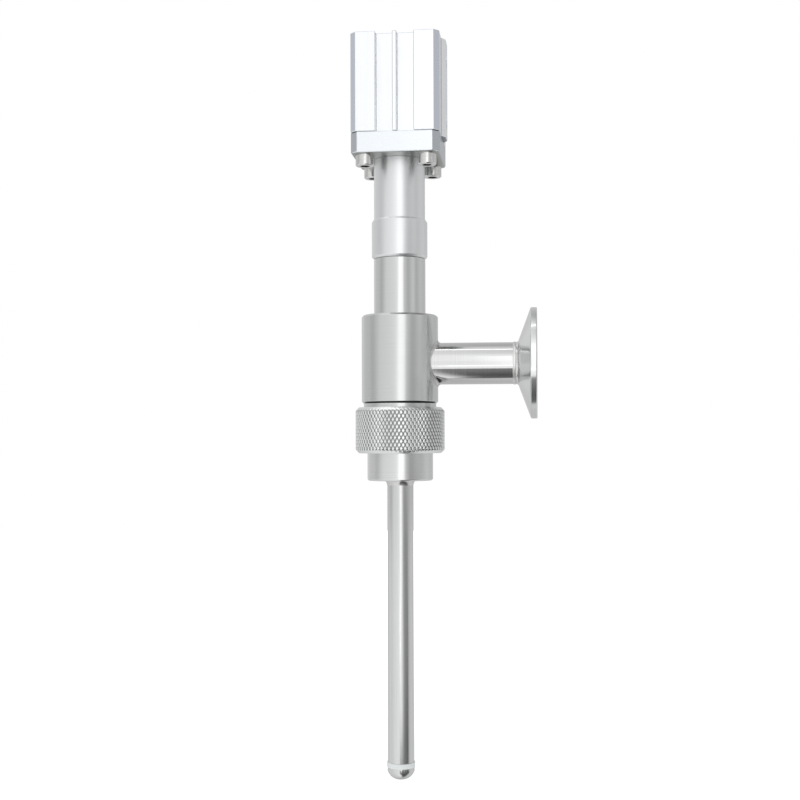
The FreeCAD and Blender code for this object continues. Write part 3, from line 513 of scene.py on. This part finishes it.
# Knurled union nut
def knurledNut(shape):
    outer = nutHigh.x
    low, high = nutLow.z, nutHigh.z
    chamfer = shape["chamfer"]
    bandLow, bandHigh = low + shape["plainEnd"], high - shape["plainEnd"]
    steps = shape["steps"]
    across = shape["teeth"] * steps
    upward = round(shape["rows"] * steps)
    share = shape["grooveShare"]

    def radiusAt(i, j):
        # radius and height of a point of the lattice
        height = bandLow + (bandHigh - bandLow) * j / upward
        u, v = i / steps, j / steps
        steep = 1 - min(1.0, abs(u + v - round(u + v)) / share)
        slanted = 1 - min(1.0, abs(u - v - round(u - v)) / share)
        # the grooves run out over the chamfers
        fromEnd = min(height - low, high - height)
        runOut = min(1.0, (fromEnd - shape["plainEnd"]) / (chamfer - shape["plainEnd"]))
        cut = shape["depth"] * runOut * max(steep, slanted * shape["slantShare"])
        return outer - max(0.0, chamfer - fromEnd) - cut, height

    verts, index = [], {}

    def addPoint(i, radius, height):
        angle = 2 * math.pi * i / across
        verts.append((radius * math.cos(angle), radius * math.sin(angle), height))
        return len(verts) - 1

    for j in range(upward + 1):
        for i in range(j % 2, across, 2):
            index[i, j] = addPoint(i, *radiusAt(i, j))
    faces = []
    for j in range(upward + 1):
        for i in range((j + 1) % 2, across, 2):
            left, right = index[(i - 1) % across, j], index[(i + 1) % across, j]
            above = index.get((i, j + 1))
            below = index.get((i, j - 1))
            # a diamond of the lattice, or the half of it that lies inside the band
            corners = [c for c in (left, below, right, above) if c is not None]
            faces.append(corners)
    # the turned surfaces: chamfers, ends, bore and lip
    lipTop = low + shape["lipHeight"]
    profile = [
        (outer - chamfer, low), (shape["lipRadius"], low), (shape["lipRadius"], lipTop),
        (shape["boreRadius"], lipTop), (shape["boreRadius"], high), (outer - chamfer, high)]
    lowRing = [index[i, 0] for i in range(0, across, 2)]
    highRing = [index[i, upward] for i in range(upward % 2, across, 2)]
    rings = [lowRing]
    for radius, height in profile:
        rings.append([addPoint(i, radius, height) for i in range(0, across, 2)])
    rings.append(highRing)
    count = len(lowRing)
    for first, second in zip(rings, rings[1:]):
        for k in range(count):
            n = (k + 1) % count
            faces.append([first[n], first[k], second[k], second[n]])
    mesh = bpy.data.meshes.new("union_nut_knurl")
    mesh.from_pydata(verts, [], faces)
    mesh.validate()
    nut = bpy.data.objects.new("union_nut_knurl", mesh)
    bpy.context.scene.collection.objects.link(nut)
    mesh.materials.append(materials["knurledStainless"])
    mesh.shade_smooth()
    mesh.set_sharp_from_angle(angle=math.radians(shape["smoothDegrees"]))
    return nut


unionNut = knurledNut(nutShape)
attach(unionNut, "union_nut")
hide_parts("knurled_nut")
print("knurl cut:", len(unionNut.data.polygons), "faces")


# Camera of the photograph
cameraView = {
    # metres from the axis, degrees round from the front, metres above the outlet
    "distance": 0.5813, "azimuth": 6.4, "height": 0.1487,
    # degrees turned from the nozzle's axis, looked up and rolled
    "turn": -0.558, "pitch": 0.892, "roll": -0.179,
    # focal length and sensor width in millimetres, shift as a share of the width
    "lens": 57.03, "sensor": 36, "shiftX": -0.0156, "shiftY": 0.02,
    "clipStart": 0.01,
}


def photoCamera(view):
    data = bpy.data.cameras.new("photoCamera")
    camera = bpy.data.objects.new("photoCamera", data)
    bpy.context.scene.collection.objects.link(camera)
    around = math.radians(view["azimuth"])
    camera.location = (view["distance"] * math.sin(around), -view["distance"] * math.cos(around),
                       view["height"])
    facing = Euler((math.pi / 2 + math.radians(view["pitch"]), 0,
                    around + math.radians(view["turn"]))).to_matrix()
    roll = Matrix.Rotation(math.radians(view["roll"]), 3, "Z")
    camera.rotation_euler = (facing @ roll).to_euler()
    data.sensor_width = view["sensor"]
    data.lens = view["lens"]
    data.shift_x = view["shiftX"]
    data.shift_y = view["shiftY"]
    data.clip_start = view["clipStart"]
    bpy.context.scene.camera = camera


photoCamera(cameraView)


# Floor
floorLook = {
    "height": -0.12, "size": 6.0, "colour": "#F4F4F4",
    # the paper's own glow near the object, and how far off it grows to plain white
    "glow": 0.35, "glowSpan": (0.45, 1.0),
    # azimuth from the front in degrees, and how bright metal sees the floor there
    "mirrorStops": [(-180, 0.62), (-160, 0.62), (-145, 0.7), (-122, 0.78), (-100, 0.92),
                    (-85, 0.87), (-40, 1.03), (-8, 1.14), (8, 1.25), (15, 1.18), (23, 0.8),
                    (40, 0.36), (64, 0.33), (88, 0.74), (112, 0.82), (135, 0.76), (155, 0.68),
                    (180, 0.62)],
    # distance in front in metres, and how bright metal sees the cloth there
    "clothStops": [(0.0, 0.14), (0.12, 0.11), (0.2, 0.16), (0.3, 0.22), (0.42, 0.25),
                   (0.49, 0.34), (0.54, 1.1)],
    "clothEnd": (0.49, 0.54),
    # the cloth's left edge: where it starts, how far it leans, and how softly it ends
    "leftStart": 0.015, "leftLean": -0.13, "leftFade": 0.015,
    # its edge under the object: how it is turned, and how softly it ends
    "backLean": -0.3, "backFade": 0.045,
}


def brightnessRamp(tree, source, stops):
    # brightness along a scale of 0 to 1, from a short list of stops
    ramp = addNode(tree, "ShaderNodeValToRGB", None, {"Fac": source})
    ramp.color_ramp.interpolation = "EASE"
    elements = ramp.color_ramp.elements
    # the ramp starts with an element at 0 and one at 1
    elements[0].color = grey(stops[0][1])
    elements[1].color = grey(stops[-1][1])
    for share, level in stops[1:-1]:
        elements.new(share).color = grey(level)
    return ramp.outputs["Color"]


def turnShare(degrees):
    # azimuth as a share of a turn that starts behind the object
    return (degrees + 180) / 360


def azimuthRamp(tree, vector, stops):
    # brightness by direction seen from above, 0 at the front and growing to the right
    parts = addNode(tree, "ShaderNodeSeparateXYZ", None, {"Vector": vector}).outputs
    front = addNode(tree, "ShaderNodeMath", multiply, {0: parts["Y"], 1: -1.0})
    angle = addNode(tree, "ShaderNodeMath", arcTangent, {0: parts["X"], 1: front})
    share = addNode(tree, "ShaderNodeMath", multiplyAdd, {0: angle, 1: 1 / (2 * math.pi), 2: 0.5})
    scaled = [(turnShare(degrees), level) for degrees, level in stops]
    return brightnessRamp(tree, share, scaled), parts, share


def studioFloor(look):
    half = look["size"] / 2
    mesh = bpy.data.meshes.new("studioFloor")
    mesh.from_pydata([(-half, -half, look["height"]), (half, -half, look["height"]),
                      (half, half, look["height"]), (-half, half, look["height"])],
                     [], [(0, 1, 2, 3)])
    floor = bpy.data.objects.new("studioFloor", mesh)
    bpy.context.scene.collection.objects.link(floor)
    material = bpy.data.materials.new("paperFloor")
    material.use_nodes = True
    tree = material.node_tree
    tree.nodes.clear()
    place = addNode(tree, "ShaderNodeTexCoord").outputs["Object"]
    rays = addNode(tree, "ShaderNodeLightPath").outputs
    # white paper that keeps a soft shadow near the object and fades to plain white far off
    farOff = addNode(tree, "ShaderNodeVectorMath", {"operation": "LENGTH"},
                     {0: place}).outputs["Value"]
    inner, outer = look["glowSpan"]
    glow = addNode(tree, "ShaderNodeMapRange", smooth, {
        "Value": farOff, "From Min": inner, "From Max": outer,
        "To Min": look["glow"], "To Max": 1.0})
    paper = addNode(tree, "ShaderNodeBsdfDiffuse", None, {"Color": hexColour(look["colour"])})
    light = addNode(tree, "ShaderNodeEmission", None, {"Strength": glow})
    seen = addNode(tree, "ShaderNodeAddShader", None, {0: paper, 1: light})
    # what metal mirrors: a table that is bright in front, grey behind and dark in front to the
    # right, and a dark cloth on it that starts under the object
    table, parts = azimuthRamp(tree, place, look["mirrorStops"])[:2]
    front = addNode(tree, "ShaderNodeMath", multiply, {0: parts["Y"], 1: -1.0})
    reach = look["clothStops"][-1][0]
    along = addNode(tree, "ShaderNodeMath", multiply, {0: front, 1: 1 / reach})
    clothStops = [(distance / reach, level) for distance, level in look["clothStops"]]
    clothLevel = brightnessRamp(tree, along, clothStops)
    border = addNode(tree, "ShaderNodeMath", multiplyAdd,
                     {0: front, 1: look["leftLean"], 2: look["leftStart"]})
    beside = addNode(tree, "ShaderNodeMath", subtract, {0: parts["X"], 1: border})
    rightOf = addNode(tree, "ShaderNodeMapRange", smooth, {
        "Value": beside, "From Min": -look["leftFade"], "From Max": look["leftFade"]})
    ahead = addNode(tree, "ShaderNodeMath", multiplyAdd,
                    {0: parts["X"], 1: look["backLean"], 2: front})
    inFront = addNode(tree, "ShaderNodeMapRange", smooth,
                      {"Value": ahead, "From Min": -look["backFade"], "From Max": 0.0})
    starts, ends = look["clothEnd"]
    near = addNode(tree, "ShaderNodeMapRange", smooth, {
        "Value": front, "From Min": starts, "From Max": ends, "To Min": 1.0, "To Max": 0.0})
    corner = addNode(tree, "ShaderNodeMath", multiply, {0: rightOf, 1: inFront})
    cloth = addNode(tree, "ShaderNodeMath", multiply, {0: corner, 1: near})
    # the darker of the two, so that the cloth never brightens the table
    darkest = addNode(tree, "ShaderNodeMath", smallest, {0: table, 1: clothLevel})
    shade = addNode(tree, "ShaderNodeMix", {"data_type": "FLOAT"},
                    {0: cloth, 2: table, 3: darkest})
    mirrored = addNode(tree, "ShaderNodeEmission", None, {"Strength": shade})
    isMirror = addNode(tree, "ShaderNodeMath", {"operation": "MAXIMUM"}, {
        0: rays["Is Glossy Ray"], 1: rays["Is Transmission Ray"]})
    mix = addNode(tree, "ShaderNodeMixShader", None, {0: isMirror, 1: paper, 2: mirrored})
    final = addNode(tree, "ShaderNodeMixShader", None, {
        0: rays["Is Camera Ray"], 1: mix, 2: seen})
    addNode(tree, "ShaderNodeOutputMaterial", None, {"Surface": final})
    mesh.materials.append(material)


studioFloor(floorLook)


# Room light: the camera sees plain white, the object sees grey walls that are lighter in front
roomLook = {
    # azimuth from the front in degrees, and how bright the room is there
    "stops": [(-180, 0.64), (-160, 0.66), (-145, 0.8), (-122, 0.70), (-101, 0.68), (-85, 0.58),
              (-50, 0.88), (-22, 0.94), (-12, 0.99), (-3, 1.14), (10, 1.2), (20, 1.05),
              (28, 0.76), (44, 0.58), (68, 0.76), (86, 0.58), (112, 0.69), (146, 0.62),
              (180, 0.64)],
    # the dark table's edge: azimuths where it comes and goes, heights where it fades out
    "tableLevel": 0.32, "tableLeft": (14, 40), "tableRight": (68, 92), "tableTop": (-0.14, 0.07),
    # the ceiling: how high it starts, then its brightness and where that changes, front to
    # back and left to right
    "ceilingStart": (0.6, 0.92),
    "frontToBack": (0.9, 0.56), "backSpan": (-0.05, 0.35),
    "leftToRight": (1.5, 0.4), "rightSpan": (-0.5, 0.5),
}


def roomLight(look):
    world = bpy.data.worlds.new("studioRoom")
    bpy.context.scene.world = world
    world.use_nodes = True
    tree = world.node_tree
    tree.nodes.clear()
    direction = addNode(tree, "ShaderNodeTexCoord").outputs["Generated"]
    wall, parts, share = azimuthRamp(tree, direction, look["stops"])
    # the dark table's edge shows just above the floor, in front and to the right
    starts, ends = [turnShare(degrees) for degrees in look["tableLeft"]]
    fromLeft = addNode(tree, "ShaderNodeMapRange", smooth,
                       {"Value": share, "From Min": starts, "From Max": ends})
    starts, ends = [turnShare(degrees) for degrees in look["tableRight"]]
    toRight = addNode(tree, "ShaderNodeMapRange", smooth, {
        "Value": share, "From Min": starts, "From Max": ends, "To Min": 1.0, "To Max": 0.0})
    starts, ends = look["tableTop"]
    low = addNode(tree, "ShaderNodeMapRange", smooth, {
        "Value": parts["Z"], "From Min": starts, "From Max": ends, "To Min": 1.0, "To Max": 0.0})
    beside = addNode(tree, "ShaderNodeMath", multiply, {0: fromLeft, 1: toRight})
    dark = addNode(tree, "ShaderNodeMath", multiply, {0: beside, 1: low})
    walls = addNode(tree, "ShaderNodeMix", colourMix, {
        0: dark, 6: wall, 7: grey(look["tableLevel"])}).outputs[2]
    # the ceiling is lighter in front than behind, and on the left than on the right
    ceiling = 1.0
    for axis, levels, span in (("Y", "frontToBack", "backSpan"), ("X", "leftToRight", "rightSpan")):
        change = addNode(tree, "ShaderNodeMapRange", smooth, {
            "Value": parts[axis], "From Min": look[span][0], "From Max": look[span][1],
            "To Min": look[levels][0], "To Max": look[levels][1]})
        ceiling = addNode(tree, "ShaderNodeMath", multiply, {0: ceiling, 1: change})
    starts, ends = look["ceilingStart"]
    overhead = addNode(tree, "ShaderNodeMapRange", smooth, {
        "Value": parts["Z"], "From Min": starts, "From Max": ends})
    room = addNode(tree, "ShaderNodeMix", colourMix, {0: overhead, 6: walls, 7: ceiling}).outputs[2]
    lit = addNode(tree, "ShaderNodeBackground", None, {"Color": room, "Strength": 1.0})
    white = addNode(tree, "ShaderNodeBackground", None, {"Color": grey(1.0), "Strength": 1.0})
    rays = addNode(tree, "ShaderNodeLightPath").outputs
    mix = addNode(tree, "ShaderNodeMixShader", None, {
        0: rays["Is Camera Ray"], 1: lit, 2: white})
    addNode(tree, "ShaderNodeOutputWorld", None, {"Surface": mix})


roomLight(roomLook)


# Softboxes: where each stands, its size, and how bright its face is
softboxes = {
    # tall strip in front: the bright line down the middle of every turned piece
    "frontStrip": {"place": (0.225, -1.18, 0.45), "aim": (0, 0, 0.2), "size": (0.48, 1.1),
                   "level": 0.32},
    # narrow box overhead: the thin white line along the top of the inlet pipe and its ferrule
    "topStrip": {"place": (-0.4, -0.24, 1.45), "aim": (-0.4, 0, 0.2), "size": (2.2, 0.07),
                 "level": 1.8},
    # small box low in front: the second white line, above the pipe's dark band
    "lowStrip": {"place": (0.01, -1.0, -0.1), "aim": (0, 0, 0.2), "size": (0.14, 0.06),
                 "level": 1.5},
    # soft fill in front: keeps the anodised faces white
    "fillBox": {"place": (-0.1, -1.2, 0.85), "aim": (0, 0, 0.2), "size": (0.9, 0.9),
                "level": 0.07},
}


def addSoftbox(name, box):
    data = bpy.data.lights.new(name, "AREA")
    data.shape = "RECTANGLE"
    data.size, data.size_y = box["size"]
    # the power that gives the face this brightness
    data.energy = box["level"] * math.pi * data.size * data.size_y
    lamp = bpy.data.objects.new(name, data)
    bpy.context.scene.collection.objects.link(lamp)
    lamp.location = box["place"]
    toward = Vector(box["aim"]) - lamp.location
    lamp.rotation_euler = toward.to_track_quat("-Z", "Y").to_euler()
    lamp.visible_camera = False


for name, box in softboxes.items():
    addSoftbox(name, box)
bpy.context.scene.view_settings.view_transform = "Standard"
print("studio lit")
